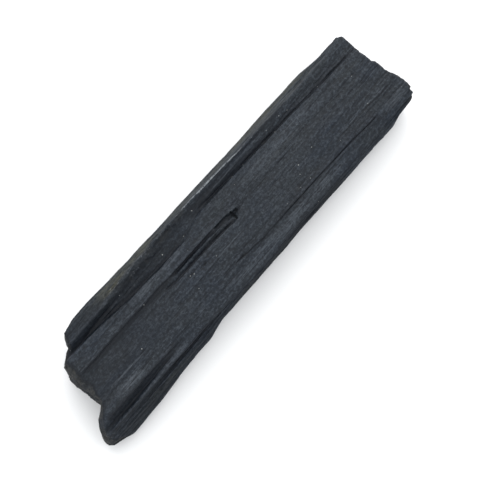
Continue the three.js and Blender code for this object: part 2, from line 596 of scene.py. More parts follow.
CROWN_MARKS = on(
    TOP,
    GrainMark,
    # The splinter's scar, with the lath that still stands in it.
    (GROOVE, ((-15.6, 2.0), (-10.9, 1.87), (-5.6, 1.71), (2.9, 1.45)), 0.24, 0.34, 1.5),
    (GROOVE, ((-15.2, 1.04), (-10.9, 0.7), (-3.9, 0.36), (2.7, -0.1)), 0.3, 0.42, 1.2),
    (RIDGE, ((-12.5, 1.42), (-5.0, 1.12), (2.7, 0.72)), 0.34, 0.34, 3.0),
    # The narrow rift that ends in the ledge, and the lines of the fibrous band beside it.
    (GROOVE, ((-3.5, -5.2), (-0.4, -5.73), (3.1, -6.08), (8.4, -6.18)), 0.2, 0.34, 1.0),
    (GROOVE, ((6.0, -6.12), (13.8, -6.28), (19.2, -6.46), (26.5, -6.74), (34.5, -7.25)), 0.22, 0.45, 2.5),
    (STEP_LEFT, ((12.0, -5.2), (20.0, -5.35), (28.0, -5.6), (37.5, -5.9)), 0.2, 0.12, 4.0, 0.7),
    (GROOVE, ((24.0, -4.72), (31.0, -4.7), (40.9, -5.35)), 0.15, 0.2, 3.0),
    (GROOVE, ((30.0, -5.3), (36.0, -5.6), (41.0, -6.1)), 0.13, 0.14, 2.0),
    (GROOVE, ((32.0, -6.5), (37.0, -6.75), (41.2, -6.9)), 0.16, 0.2, 2.5),
    (STEP_RIGHT, ((33.0, -7.9), (37.0, -8.0), (41.2, -8.1)), 0.18, 0.14, 2.0, 0.8),
    # Thin dark lines at the foot of the bar.
    (
        GROOVE,
        ((-1.5, 6.1), (6.9, 5.72), (14.1, 5.3), (25.0, 4.74), (32.0, 4.36), (40.1, 3.95)),
        0.22, 0.3, 3.5,
    ),
    (STEP_LEFT, ((1.0, 6.75), (9.0, 6.62), (18.2, 6.3)), 0.18, 0.16, 1.0, 0.6),
    (GROOVE, ((-32.6, 8.75), (-29.8, 8.7), (-27.0, 8.9)), 0.2, 0.22, 1.2),
    (GROOVE, ((-26.0, 9.1), (-18.0, 9.0), (-9.0, 8.75)), 0.16, 0.12, 4.0),
    (STEP_LEFT, ((-31.0, 5.35), (-22.0, 5.1), (-13.0, 4.3), (-4.0, 4.6)), 0.2, 0.14, 4.0, 0.9),
    # The rib's edge and the step under it.
    (GROOVE, ((-36.4, 2.25), (-26.5, 2.2), (-19.6, 2.02), (-14.0, 1.95)), 0.24, 0.3, 2.0),
    (RIDGE, ((-33.0, 3.1), (-22.0, 2.9), (-10.0, 2.5), (0.0, 2.1)), 0.45, 0.07, 5.0),
    # Hairlines on the broad face.
    (GROOVE, ((-34.6, -0.95), (-30.0, -1.05), (-26.0, -1.35)), 0.13, 0.16, 2.5),
    (GROOVE, ((-35.2, -2.7), (-30.0, -2.8), (-23.1, -3.1)), 0.14, 0.18, 3.0),
    (RIDGE, ((-34.5, -3.0), (-30.0, -3.12), (-22.5, -3.4)), 0.16, 0.1, 3.0),
    (GROOVE, ((-10.5, -1.2), (-8.5, -1.1), (-6.7, -1.15)), 0.16, 0.18, 1.0),
    (STEP_RIGHT, ((-18.0, -2.05), (-8.0, -2.2), (3.0, -2.5)), 0.16, 0.1, 4.0, 0.9),
    (GROOVE, ((7.2, 1.25), (12.0, 0.95), (17.6, 0.67)), 0.13, 0.13, 2.0),
    (GROOVE, ((10.5, 0.55), (16.0, 0.3), (24.0, 0.1)), 0.12, 0.1, 3.0),
    (GROOVE, ((28.0, -0.55), (34.0, -0.8), (40.2, -1.1)), 0.12, 0.1, 3.0),
    (GROOVE, ((30.0, -3.2), (35.0, -3.1), (40.5, -3.3)), 0.13, 0.12, 3.0),
    # The valley and grooves of the spur.
    (GROOVE, ((-39.5, -6.3), (-30.0, -6.55), (-22.0, -6.65), (-17.0, -6.6)), 0.3, 0.16, 3.0),
    (GROOVE, ((-41.0, -8.25), (-30.0, -8.45), (-21.4, -8.6), (-8.0, -8.85)), 0.22, 0.28, 4.0),
    (GROOVE, ((-24.0, -5.75), (-19.0, -5.9), (-15.5, -6.0)), 0.16, 0.16, 2.0),
)


@dataclass(frozen=True)
class StrayMarks:
    """Short grooves, ridges and steps scattered along the grain, among the named marks.

    Attributes:
        side: The side of the rod that they lie on.
        count: How many.
        offsets: The band across the side that they lie in.
        seed: The seed of their places.
        depth: The deepest.
        starts: The stations between which they start.
        lengths: The shortest and the longest.
        drift: How far across the side they may stray at most.
        widths: Half the width of the narrowest and of the widest.
        forms: Each form, and the share of the marks that has it.
    """

    side: Side
    count: int
    offsets: Place
    seed: int
    depth: float
    starts: Place = (-42.0, 38.0)
    lengths: Place = (3.0, 16.0)
    drift: float = 0.12
    widths: Place = (0.1, 0.22)
    forms: tuple[tuple[Form, float], ...] = (
        (GROOVE, 0.45), (STEP_LEFT, 0.22), (STEP_RIGHT, 0.22), (RIDGE, 0.11),
    )

    def marks(self) -> list[GrainMark]:
        """Draws the marks.

        Returns:
            One mark for each count.
        """
        rng = np.random.default_rng(self.seed)
        forms, chances = zip(*self.forms)
        made = []
        for _ in range(self.count):
            start = rng.uniform(*self.starts)
            length = rng.uniform(*self.lengths)
            offset = rng.uniform(*self.offsets)
            drift = rng.uniform(-self.drift, self.drift)
            path = ((start, offset), (start + length, offset + drift))
            form = forms[int(rng.choice(len(forms), p=chances))]
            width = rng.uniform(*self.widths)
            depth = self.depth * rng.uniform(0.3, 1)
            made.append(GrainMark(self.side, form, path, width, depth, length * 0.3, 0.5))
        return made


STRAYS = (
    StrayMarks(TOP, 230, (-9.2, 8.4), 3, 0.16),
    StrayMarks(LEFT, 110, (1.5, 10.8), 4, 0.14),
    StrayMarks(RIGHT, 110, (1.0, 9.0), 6, 0.14),
    StrayMarks(UNDER, 120, (-9.0, 8.2), 9, 0.12),
)

CHIPS = (
    *on(
        TOP,
        Chip,
        ((2.95, 0.62), (0.24, 0.95), 0.32),
        ((3.8, 0.9), (0.28, 0.26), 0.2),
        ((-6.9, -1.15), (0.5, 0.24), 0.22),
        ((-9.9, -0.7), (0.7, 0.3), 0.16),
        ((-5.5, -0.75), (0.5, 0.2), 0.14),
        ((-5.3, 0.0), (0.6, 0.2), 0.12),
        ((8.1, 1.27), (0.45, 0.2), 0.16),
        ((-1.4, -5.4), (0.8, 0.35), 0.18),
        ((-17.3, 6.9), (0.45, 0.7), 0.16),
        ((-16.0, 6.8), (0.35, 0.7), 0.16),
        ((-14.6, 6.9), (0.35, 0.6), 0.14),
        ((-13.2, 7.0), (0.4, 0.6), 0.14),
        ((-8.0, 7.6), (2.2, 0.7), 0.28),
        ((-3.6, 7.7), (1.4, 0.6), 0.25),
        ((-21.0, 8.2), (1.8, 0.6), 0.2),
        ((-12.0, 8.0), (1.3, 0.5), 0.18),
        ((16.5, 5.1), (0.7, 0.35), 0.12),
    ),
    *on(
        RIGHT,
        Chip,
        ((-29.0, 7.5), (1.4, 0.7), 0.25),
        ((12.0, 6.6), (1.8, 0.8), 0.2),
        ((27.0, 2.6), (2.4, 0.9), 0.25),
        ((-9.0, 2.2), (2.0, 0.7), 0.22),
    ),
    *on(
        LEFT,
        Chip,
        ((-18.0, 3.0), (2.4, 0.8), 0.25),
        ((7.0, 6.8), (1.6, 0.5), 0.18),
        ((24.0, 2.4), (2.0, 0.8), 0.22),
    ),
    *on(
        UNDER,
        Chip,
        ((-24.0, -9.0), (2.6, 0.8), 0.3),
        ((15.0, 7.6), (2.8, 0.9), 0.3),
    ),
)

ROUGH_AREAS = (
    *on(
        TOP,
        Zone,
        ((-25.0, 6.9), (-1.5, 9.0), (1.5, 0.35), 1.8),
        ((9.0, -5.9), (36.0, -4.2), (3.0, 0.3), 0.8),
        ((-40.0, -4.9), (-33.5, -3.0), (1.0, 0.3), 0.9),
        ((-35.0, 3.0), (-20.0, 5.6), (2.0, 0.5), 0.35),
        ((2.0, 1.5), (26.0, 5.0), (3.0, 0.5), 0.4),
        ((2.0, -9.0), (20.0, -6.6), (3.0, 0.4), 0.3),
        ((-3.0, -4.5), (14.0, -1.0), (4.0, 1.0), 0.25),
    ),
)

STAIN_AREAS = (
    *on(
        TOP,
        Zone,
        ((-24.0, 8.2), (-8.0, 10.6), (3.0, 0.5), 1.0),
        ((-6.0, 8.15), (33.0, 10.6), (4.0, 0.3), 0.75),
    ),
    *on(
        LEFT,
        Zone,
        ((-25.0, 7.8), (-7.0, 10.5), (6.0, 1.1), 0.62),
        ((-8.0, 8.0), (33.0, 10.5), (6.0, 1.0), 0.3),
    ),
    *on(
        RIGHT,
        Zone,
        ((-32.0, 5.0), (-22.0, 8.0), (8.0, 2.0), 0.25),
    ),
    *on(
        UNDER,
        Zone,
        ((-5.0, 1.0), (25.0, 7.0), (12.0, 3.0), 0.3),
    ),
)

# Painted shade: the deep colour laid in valleys, grooves, pits and along steps, and over broad areas of the
# right flank, the left end of the crest and the plateau, where the shade falls.
PAINTED_SHADE_AREAS = (
    *on(
        TOP,
        Band,
        (((-15.6, 2.0, 0.12), (-10.9, 1.87, 0.14), (-5.6, 1.71, 0.13), (3.0, 1.45, 0.1)), 1.0, 0.8, 0.12),
        (((-15.4, 1.04, 0.16), (-10.9, 0.7, 0.2), (-3.9, 0.36, 0.2), (2.9, 0.0, 0.18)), 1.0, 0.6, 0.14),
        (((-35.2, 2.2, 0.5), (-26.5, 2.15, 0.48), (-19.6, 2.05, 0.45), (-13.0, 1.75, 0.4)), 1.0, 0.8, 0.14),
        (((-34.0, 6.72, 0.55), (-19.6, 6.84, 0.5), (-10.8, 7.1, 0.75), (-2.3, 7.0, 0.8)), 0.56, 1.5, 0.25),
        (
            ((-4.0, 6.5, 0.8), (5.1, 6.2, 0.75), (10.5, 5.9, 0.6), (17.7, 5.35, 0.3), (26.0, 4.8, 0.1)),
            0.8, 2.5, 0.3,
        ),
        (((-0.3, 7.3, 0.2), (8.6, 7.05, 0.2), (17.6, 6.9, 0.3), (25.0, 6.7, 0.2)), 0.7, 2.0, 0.15),
        (((-26.0, 5.5, 0.12), (-19.6, 4.75, 0.18), (-12.6, 4.42, 0.22), (-3.0, 4.15, 0.1)), 0.8, 2.5, 0.12),
        (((-30.0, 6.0, 0.3), (-19.0, 5.5, 0.55), (-12.0, 5.4, 0.7), (-5.0, 5.5, 0.8)), 0.45, 4.0, 0.3),
        (
            ((-38.6, -6.2, 0.7), (-31.7, -6.45, 0.75), (-24.8, -6.55, 0.42), (-18.4, -6.5, 0.1)),
            0.75, 1.2, 0.25,
        ),
        (
            (
                (-40.4, -7.6, 0.25), (-37.7, -8.15, 0.3), (-21.3, -8.5, 0.34),
                (-10.8, -8.75, 0.28), (-3.7, -8.95, 0.2),
            ),
            0.72, 1.5, 0.18,
        ),
        (((-5.0, -9.2, 0.35), (9.0, -9.25, 0.45), (20.0, -9.35, 0.4), (36.0, -9.6, 0.3)), 0.7, 3.0, 0.25),
        (
            (
                (-2.7, -5.3, 0.14), (3.2, -6.04, 0.17), (13.9, -6.23, 0.18),
                (26.6, -6.7, 0.2), (34.0, -7.2, 0.18),
            ),
            1.0, 1.0, 0.12,
        ),
        (((24.0, -4.72, 0.1), (31.0, -4.7, 0.12), (41.0, -5.35, 0.12)), 0.9, 2.5, 0.1),
        (((30.0, -5.35, 0.08), (36.0, -5.65, 0.1), (41.0, -6.1, 0.08)), 0.8, 2.0, 0.1),
        (((9.0, -5.6, 0.4), (20.0, -5.5, 0.6), (34.0, -5.9, 0.6)), 0.22, 4.0, 0.4),
        (
            ((-32.2, 8.52, 0.14), (-29.1, 8.5, 0.16), (-26.5, 8.78, 0.12), (-22.6, 9.16, 0.08)),
            0.85, 1.0, 0.12,
        ),
        (((-36.4, 5.6, 0.2), (-34.6, 5.0, 0.25)), 0.5, 0.3, 0.2),
    ),
    *on(
        TOP,
        Zone,
        ((2.9, 0.35), (3.15, 1.1), (0.14, 0.2), 1.0),
        ((2.5, -0.3), (2.95, 0.3), (0.16, 0.16), 0.9),
        ((2.4, 1.15), (2.95, 1.5), (0.16, 0.16), 0.9),
        ((3.66, 0.8), (3.94, 1.0), (0.14, 0.14), 0.9),
        ((-7.1, -1.25), (-6.4, -0.8), (0.3, 0.2), 0.8),
        ((-5.7, -0.85), (-5.1, -0.5), (0.3, 0.2), 0.7),
        ((7.8, 1.2), (8.4, 1.5), (0.3, 0.15), 0.7),
        ((-39.0, -4.0), (-18.0, 2.0), (6.0, 1.2), 0.4),
        ((-32.5, 7.2), (-24.0, 10.4), (3.0, 0.4), 0.45),
    ),
    *on(
        LEFT,
        Zone,
        ((-32.5, 3.0), (-24.0, 10.4), (3.0, 0.8), 0.45),
    ),
    # Painted shade on the right flank, which faces away from the light.
    *on(
        RIGHT,
        Zone,
        ((-41.0, 0.0), (-8.0, 8.6), (4.0, 0.8), 0.5),
        ((-8.0, 0.0), (22.0, 9.2), (4.0, 0.8), 0.9),
    ),
)

BLOOM_AREAS = (
    *on(
        TOP,
        Zone,
        ((-33.8, -5.4), (-28.0, -3.9), (1.2, 0.4), 0.4),
        ((-19.5, 3.3), (-7.0, 4.2), (2.0, 0.3), 0.3),
        ((9.0, 2.4), (26.0, 4.0), (3.0, 0.7), 0.2),
        ((13.0, 2.2), (22.0, 3.4), (3.0, 0.6), 0.3),
        ((-30.0, -8.0), (-19.0, -7.2), (3.0, 0.2), 0.2),
        ((36.0, -8.6), (40.5, -6.9), (1.5, 0.5), 0.4),
        ((-6.0, -8.6), (24.0, -6.9), (6.0, 0.6), 0.3),
    ),
    *on(
        TOP,
        Band,
        (((-2.0, 8.75, 0.06), (12.0, 8.45, 0.08), (30.0, 7.95, 0.06)), 0.7, 4.0, 0.1),
        (((3.0, 8.3, 0.05), (14.0, 8.05, 0.06), (33.0, 7.5, 0.06)), 0.6, 4.0, 0.1),
        (((-34.3, -2.72, 0.05), (-26.6, -3.14, 0.07), (-24.0, -3.25, 0.05)), 0.9, 1.5, 0.12),
        (((-15.3, -2.0, 0.05), (-3.9, -2.28, 0.06), (3.6, -2.36, 0.04)), 0.6, 2.0, 0.12),
        (((3.0, 6.5, 0.05), (10.5, 6.45, 0.07), (17.8, 6.28, 0.06)), 0.6, 1.5, 0.1),
        (((-27.7, -7.45, 0.1), (-18.5, -7.6, 0.25)), 0.3, 2.5, 0.2),
        (((26.0, -4.4, 0.06), (33.0, -4.4, 0.08), (41.0, -5.0, 0.06)), 0.6, 3.0, 0.1),
    ),
    *on(
        LEFT,
        Zone,
        ((-2.0, 7.5), (30.0, 9.5), (8.0, 1.6), 0.15),
        ((-34.0, 2.0), (34.0, 6.0), (8.0, 1.6), 0.12),
    ),
)

# Matted fibres, which curl out of the broad face where laths have lifted off.
FELT_AREAS = (
    *on(
        TOP,
        Zone,
        ((8.0, 1.2), (28.0, 4.9), (4.0, 0.7), 1.0),
        ((-6.0, 2.4), (8.0, 4.8), (4.0, 0.6), 0.6),
        ((3.0, -4.5), (20.0, -0.5), (5.0, 1.0), 0.7),
        ((-2.0, -8.6), (16.0, -6.4), (4.0, 0.5), 0.7),
        ((-37.0, -5.4), (-28.0, -3.6), (3.0, 0.5), 0.5),
    ),
)

# Painted highlight, standing in for bare arrises that catch the light: whole on the crest, and as flecks
# where it is chipped.
PAINTED_GLINT_AREAS = (
    *on(
        TOP,
        Band,
        (((-5.6, 8.12, 0.14), (3.2, 7.84, 0.26), (8.5, 7.57, 0.2), (16.0, 7.2, 0.12)), 0.64, 3.0, 0.16),
        (((9.0, 7.5, 0.08), (20.0, 7.1, 0.12), (33.0, 6.85, 0.08)), 0.5, 3.0, 0.14),
    ),
    *on(
        TOP,
        Zone,
        ((-24.5, 7.4), (-2.0, 9.0), (1.5, 0.35), 0.42),
        ((-18.5, 6.5), (-14.5, 7.6), (0.6, 0.3), 0.42),
        ((-11.5, -0.6), (-7.5, 0.1), (1.0, 0.3), 0.38),
        ((8.0, 2.0), (28.0, 5.0), (4.0, 0.6), 0.33),
    ),
)

# Mica flakes caught in the broad face: x, y and radius.
SPECKS = (
    (-25.3, -2.5, 0.112), (-10.5, 5.6, 0.128), (-10.9, -3.2, 0.09), (17.2, -2.3, 0.12), (21.2, -2.0, 0.09),
    (35.6, 7.1, 0.128), (21.8, 6.1, 0.09), (18.3, 6.1, 0.075), (33.9, -4.5, 0.09), (28.7, -9.3, 0.09),
    (8.0, 5.3, 0.075), (-9.5, -0.9, 0.105), (23.6, 5.7, 0.075), (-19.3, 2.2, 0.09), (-5.6, 4.9, 0.075),
    (11.0, 5.3, 0.075), (19.2, 4.8, 0.105), (16.1, -3.6, 0.075), (16.8, -5.4, 0.098), (14.4, -5.2, 0.075),
    (-20.8, 6.6, 0.075), (-1.3, 6.7, 0.105), (35.9, 0.9, 0.083), (-10.2, -0.6, 0.098), (-4.6, -1.8, 0.075),
)


@dataclass(frozen=True)
class Laths:
    """Flat-topped laths along the grain.

    Attributes:
        height: The height of the tallest, about.
        length: The length of a lath.
        width: Its width.
        levels: How many levels they stand at, for each step of 1 in the noise.
    """

    height: float
    length: float
    width: float
    levels: float


# What every long face grows, and the coarser prisms of the flanks and the underside.
GROWN_LATHS = (Laths(0.05, 22.0, 1.3, 2.0), Laths(0.034, 10.0, 0.55, 2.0))
BARE_PRISMS = (Laths(0.16, 60.0, 2.3, 2.5), Laths(0.1, 34.0, 1.0, 2.0))


@dataclass
class CrystalRelief:
    """Everything on the skin that is finer than the solid, as heights along its normals.

    Attributes:
        x: Places along the rod, one row for each grain line.
        y: Places across it.
        z: Heights.
        grain: Points that follow the grain, for the noise.
        normal: Outward normals.
        fibre: The noise of what grew.
        grit: The noise of what broke or wore.
        wander_height: How far a mark strays from its path, about.
    """

    x: Array
    y: Array
    z: Array
    grain: Array
    normal: Array
    fibre: ValueNoise = field(default_factory=lambda: ValueNoise(11))
    grit: ValueNoise = field(default_factory=lambda: ValueNoise(23))
    wander_height: float = 0.08

    def __post_init__(self) -> None:
        """Finds how far each place belongs to each side, and how the marks wander."""
        leaning = {side: self.normal @ np.array([0.0, *side.value]) for side in Side}
        self.share = {
            TOP: ease(0.1, 0.45, leaning[TOP]),
            LEFT: ease(0.3, 0.7, leaning[LEFT]) * ease(6.6, 7.2, self.y),
            RIGHT: ease(0.3, 0.7, leaning[RIGHT]) * ease(-8.3, -8.9, self.y),
            UNDER: ease(0.3, 0.7, leaning[UNDER]),
        }
        self.points = np.stack([self.x, self.y, self.z], axis=-1)
        self.wander = self.wander_height * self.fibre.layers(self.points, (2.6, 40.0, 40.0), 3)

    def offset(self, side: Side) -> Array:
        """Gives the places across a side: y on the top and underside, z on the flanks, with a wander."""
        return (self.y if side in (TOP, UNDER) else self.z) + self.wander

    def inside(self, area: Zone | Band | Chip) -> Array:
        """Gives an area's share at each place of its own side."""
        return area.share(self.x, self.offset(area.side)) * self.share[area.side]

    def mask(self, areas: tuple[Zone | Band, ...]) -> Array:
        """Joins areas into one mask, with the strongest area's share at each place."""
        return np.maximum.reduce([self.inside(area) for area in areas])

    def marks(self, marks: tuple[GrainMark, ...]) -> Array:
        """Adds up the marks.

        Args:
            marks: The marks.

        Returns:
            The added height.
        """
        total = np.zeros_like(self.x)
        for mark in marks:
            total += mark.height(self.x, self.offset(mark.side)) * self.share[mark.side]
        return total

    def chips(self, chips: tuple[Chip, ...]) -> tuple[Array, Array]:
        """Scoops out the chips.

        Args:
            chips: The chips.

        Returns:
            The added height, and the mask of fresh break in them.
        """
        wander = 0.5 * self.grit.layers(self.points, (0.8, 0.5, 0.5), 2)
        total, mask = np.zeros_like(self.x), np.zeros_like(self.x)
        for chip in chips:
            inside = self.inside(chip)
            inside = np.where(inside > 0, np.clip(inside + wander * inside, 0, 1), 0)
            total -= chip.depth * ease(0.0, 0.6, inside)
            mask = np.maximum(mask, ease(0.1, 0.5, inside))
        return total, mask

    def terraces(self, laths: Laths) -> Array:
        """Makes laths with crisp edges, out of noise that runs along the grain.

        Args:
            laths: Their sizes.

        Returns:
            The added height.
        """
        sizes = (laths.length, laths.width, laths.width)
        raised = self.fibre.layers(self.grain, sizes, 2) * laths.levels
        floor = np.floor(raised)
        return laths.height * ((floor + ease(0.35, 0.65, raised - floor)) / laths.levels)

    def striations(self) -> Array:
        """Makes the fine ribbing that every long face of the rod grows.

        Returns:
            The added height.
        """
        grown = sum(self.terraces(laths) for laths in GROWN_LATHS)
        hair = 0.016 * self.fibre.layers(self.grain + 91.0, (4.5, 0.32, 0.32))
        prisms = sum(self.terraces(laths) for laths in BARE_PRISMS)
        away = np.maximum.reduce([self.share[side] for side in (LEFT, RIGHT, UNDER)])
        return grown + hair + away * prisms

    def roughness(self, rough: Array) -> Array:
        """Gives worn grit everywhere, and hackly fibres in the rough areas.

        Args:
            rough: The mask of the rough areas.

        Returns:
            The added height.
        """
        worn = 0.022 * self.grit.layers(self.points, (1.2, 0.6, 0.6), 2)
        hackle = 0.13 * self.grit.layers(self.points + 31.0, (1.5, 0.6, 0.6), 2)
        return worn + hackle * rough


@dataclass(frozen=True)
class Break:
    """The fracture across the grain at one end.

    Attributes:
        seed: The seed of its relief.
        swell: The height of its broad waves.
        step: How far the prisms of the bundle snapped above or below each other.
        hackle: The height of its rough grain.
        lip: How far back the worn edge reaches.
        prisms: How many prisms the bundle shows.
        lean: How steeply each prism's break leans.
        seam: The width of the slope between two prisms.
        rim_share: How much of the relief is left at the rim, where the edges are rubbed.
        rim_width: How far in from the rim it grows to the whole.
        proud: The height above which a facet is rubbed down.
        rubbed: The share that is left of what stood above it.
        warp: How far the edges of the prisms bend, about.
        section: The lowest and the highest (y, z) of the bundle.
    """

    seed: int
    swell: float
    step: float
    hackle: float
    lip: float = 0.3
    prisms: int = 72
    lean: float = 0.3
    seam: float = 0.04
    rim_share: float = 0.2
    rim_width: float = 1.0
    proud: float = 0.0
    rubbed: float = 0.25
    warp: float = 0.35
    section: tuple[Place, Place] = ((-11.0, -0.5), (11.0, 12.0))

    def relief(self, y: Array, z: Array, inward: Array | float = 0.0) -> Array:
        """Gives how far the fracture stands out along the rod.

        Args:
            y: Places across the section.
            z: Heights in it.
            inward: How far in from the rim the places lie.

        Returns:
            The relief, positive outwards.
        """
        noise = ValueNoise(self.seed)
        places = np.stack([np.zeros_like(y), y, z], axis=-1)
        broad = noise.layers(places, (1.0, 3.4, 4.2))
        bends = [noise.layers(places + shift, (1.0, 0.9, 0.9), 2) for shift in (57.0, 29.0)]
        warped = places[..., 1:] + self.warp * np.stack(bends, axis=-1)
        rng = np.random.default_rng(self.seed)
        spots = rng.uniform(*self.section, (self.prisms, 2))
        levels = rng.uniform(-self.step, self.step, self.prisms)
        leans = rng.normal(0, self.lean, (self.prisms, 2))
        away = warped[..., None, :] - spots
        distance = np.linalg.norm(away, axis=-1)
        weight = np.exp(-(distance - distance.min(axis=-1, keepdims=True)) / self.seam)
        weight /= weight.sum(axis=-1, keepdims=True)
        facets = np.sum(weight * (levels + np.sum(away * leans, axis=-1)), axis=-1)
        grains = noise.layers(places + 83.0, (1.0, 0.42, 0.6), 3)
        kept = self.rim_share + (1 - self.rim_share) * np.clip(inward / self.rim_width, 0, 1)
        height = self.swell * broad + facets
        proud = np.maximum(height - self.proud, 0)
        return (height - (1 - self.rubbed) * proud + self.hackle * grains) * kept


@dataclass
class TourmalineCrystal:
    """The whole rod: one natural piece.

    Attributes:
        lattice: The counts of cells in its skin.
        end_cells: The cells of each end that are drawn fine along the grain.
        end_length: The length of each fine end, as a share of the rod.
        cap_start: The fracture at the spurred end.
        cap_end: The fracture at the plain end.
        shelf_edge: The inner edge of the low broken shelf at the spurred end, as (y, x).
        shelf_drop: The height of the step at its inner edge.
        shelf_slope: How steeply it falls from there towards the break.
        shelf_line: Half the width of the line of painted shade along its inner edge.
        recess_spread: The grain lines over which a hollow is measured, as a standard deviation.
        recess_full: The depth that counts as a full hollow, where the painted shade is whole.
        cap_cell: The size of a cell of the ends, across and up.
        focus: Where along the rod the scar ends, as a share.
        focus_spread: The length about it that is drawn finer, as a share.
        focus_gain: How much finer it is drawn.
        grain_width: Half the width over which the noise of the grain is spread.
    """

    lattice: Lattice = Lattice()
    end_cells: int = 22
    end_length: float = 0.042
    cap_start: Break = Break(5, 0.25, 0.45, 0.08)
    cap_end: Break = Break(8, 0.22, 0.42, 0.08)
    shelf_edge: tuple[Place, ...] = (
        (-9.4, -39.2), (-8.6, -40.6), (-7.4, -40.7), (-6.2, -39.8), (-5.0, -38.5), (-3.95, -37.4),
        (-2.6, -36.8), (-1.2, -36.4), (0.0, -35.9), (1.2, -36.0), (2.6, -36.1), (4.4, -35.8),
        (5.8, -35.6), (6.6, -34.6), (8.0, -32.9), (9.6, -31.9),
    )
    shelf_drop: float = 0.32
    shelf_slope: float = 0.5
    shelf_line: float = 0.36
    recess_spread: float = 3.0
    recess_full: float = 0.17
    cap_cell: Place = (0.13, 0.25)
    focus: float = 0.521
    focus_spread: float = 0.022
    focus_gain: float = 3.0
    grain_width: float = 9.8

    def build(self, node: bpy.types.Object) -> bpy.types.Object:
        """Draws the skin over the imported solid.

        Args:
            node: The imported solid's object.

        Returns:
            The finished piece, at the origin.
        """
        skin = GrainSkin(PackedSolid(node), self.lattice)
        tube, masks = self._tube(skin)
        caps = [self._cap(skin, tube, end) for end in (0, 1)]
        mesh = self.lattice.shell()
        self._write(mesh, tube, masks, caps)
        piece = bpy.data.objects.new("tourmaline_rod", mesh)
        bpy.context.scene.collection.objects.link(piece)
        return piece

    def _shares(self) -> Array:
        """Spaces the lattice along the rod, finer towards both breaks and at the scar's end.

        Returns:
            The share of the rod's length at each place along it.
        """
        fine = self.end_length * np.linspace(0, 1, self.end_cells + 1) ** 1.25
        middle = self.lattice.along - 2 * self.end_cells
        steps = np.linspace(self.end_length, 1 - self.end_length, 2000)
        density = 1 + self.focus_gain * np.exp(-(((steps - self.focus) / self.focus_spread) ** 2))
        total = np.concatenate([[0.0], np.cumsum((density[1:] + density[:-1]) / 2)])
        plain = np.interp(np.linspace(0, total[-1], middle + 1), total, steps)
        return np.concatenate([fine[:-1], plain, (1 - fine)[:-1][::-1]])

    def _tube(self, skin: GrainSkin) -> tuple[Array, dict[str, Array]]:
        """Makes the long sides.

        Args:
            skin: The measured skin.

        Returns:
            The points of every grain line, and the masks that the finish reads.
        """
        shares = self._shares()
        x, y, z = skin.at(shares)
        points = np.stack([x, y, z], axis=-1)
        along = np.gradient(points, axis=1)
        beside = (np.roll(points, -1, axis=0) - np.roll(points, 1, axis=0)) / 2
        normal = np.cross(beside, along)
        normal /= np.linalg.norm(normal, axis=-1, keepdims=True)
        normal *= np.sign(np.sum(normal[..., 1:] * (points[..., 1:] - (0, skin.spine_height))))
        across = np.broadcast_to((skin.across * self.grain_width)[:, None], x.shape)
        up = np.broadcast_to((skin.up * skin.spine_height)[:, None], x.shape)
        relief = CrystalRelief(x, y, z, np.stack([x, across, up], axis=-1), normal)
        height, masks = self._height(relief)
        points = points + normal * height[..., None]
        # Painted shade: the deeper a place lies below its neighbours, the darker its colour; crests count
        # as worn.
        recess = self._recess(points, normal) / self.recess_full
        masks["painted_shade"] = np.clip(np.maximum(masks["painted_shade"], recess), 0, 1)
        masks["worn"] = np.clip(-recess, 0, 1) * (1 - masks["painted_shade"])
        points[..., 2] = np.maximum(points[..., 2], 0.0)
        self._meet_breaks(skin, points, shares)
        return points, masks

    def _meet_breaks(self, skin: GrainSkin, points: Array, shares: Array) -> None:
        """Draws the last stretch of every grain line out or in, so that it meets its break.

        Args:
            skin: The measured skin.
            points: The points of every grain line, which are moved in place.
            shares: The share of the rod's length at each place along it.
        """
        for end, sign, face, fade in ((0, -1, self.cap_start, shares), (-1, 1, self.cap_end, 1 - shares)):
            x, y, z = points[:, end].T
            target = skin.breaks[end].at(y, z) + sign * (face.relief(y, z) - face.lip * 0.5)
            shift = (target - x)[:, None]
            points[..., 0] += shift * np.clip(1 - fade / self.end_length, 0, 1) ** 1.5

    def _height(self, relief: CrystalRelief) -> tuple[Array, dict[str, Array]]:
        """Adds up all the relief of the long sides.

        Args:
            relief: The relief of the skin.

        Returns:
            The height along the normal, and the masks that the finish reads.
        """
        rough = relief.mask(ROUGH_AREAS)
        marks = CROWN_MARKS + tuple(mark for group in STRAYS for mark in group.marks())
        chipped, fresh = relief.chips(CHIPS)
        shelf, fall, cut = self._shelf(relief)
        # The spur's part of the shelf is less fresh than the rest.
        spur = 0.45 + 0.55 * ease(-6.0, -4.5, relief.y)
        height = relief.striations() * (1 - 0.7 * fresh) * (1 - 0.8 * shelf)
        height = height + relief.marks(marks) * (1 - shelf) + chipped
        height = height + relief.roughness(np.maximum(rough, 0.9 * shelf))
        height = height - fall - self._wear(relief)
        masks = {
            "fracture": np.clip(np.maximum(fresh * 0.2, shelf * spur) + 0.1 * rough, 0, 1),
            "stain": relief.mask(STAIN_AREAS),
            "bloom": relief.mask(BLOOM_AREAS),
            # Painted highlight along the crest and in flecks where it is chipped.
            "glint": relief.mask(PAINTED_GLINT_AREAS),
            "felt": relief.mask(FELT_AREAS),
            # Painted shade: the listed shaded areas, and the line along the shelf's inner edge.
            "painted_shade": np.maximum(relief.mask(PAINTED_SHADE_AREAS) * (1 - shelf), cut),
            "flank": np.maximum(relief.share[LEFT] * 0.6, relief.share[RIGHT]),
        }
        return height, masks

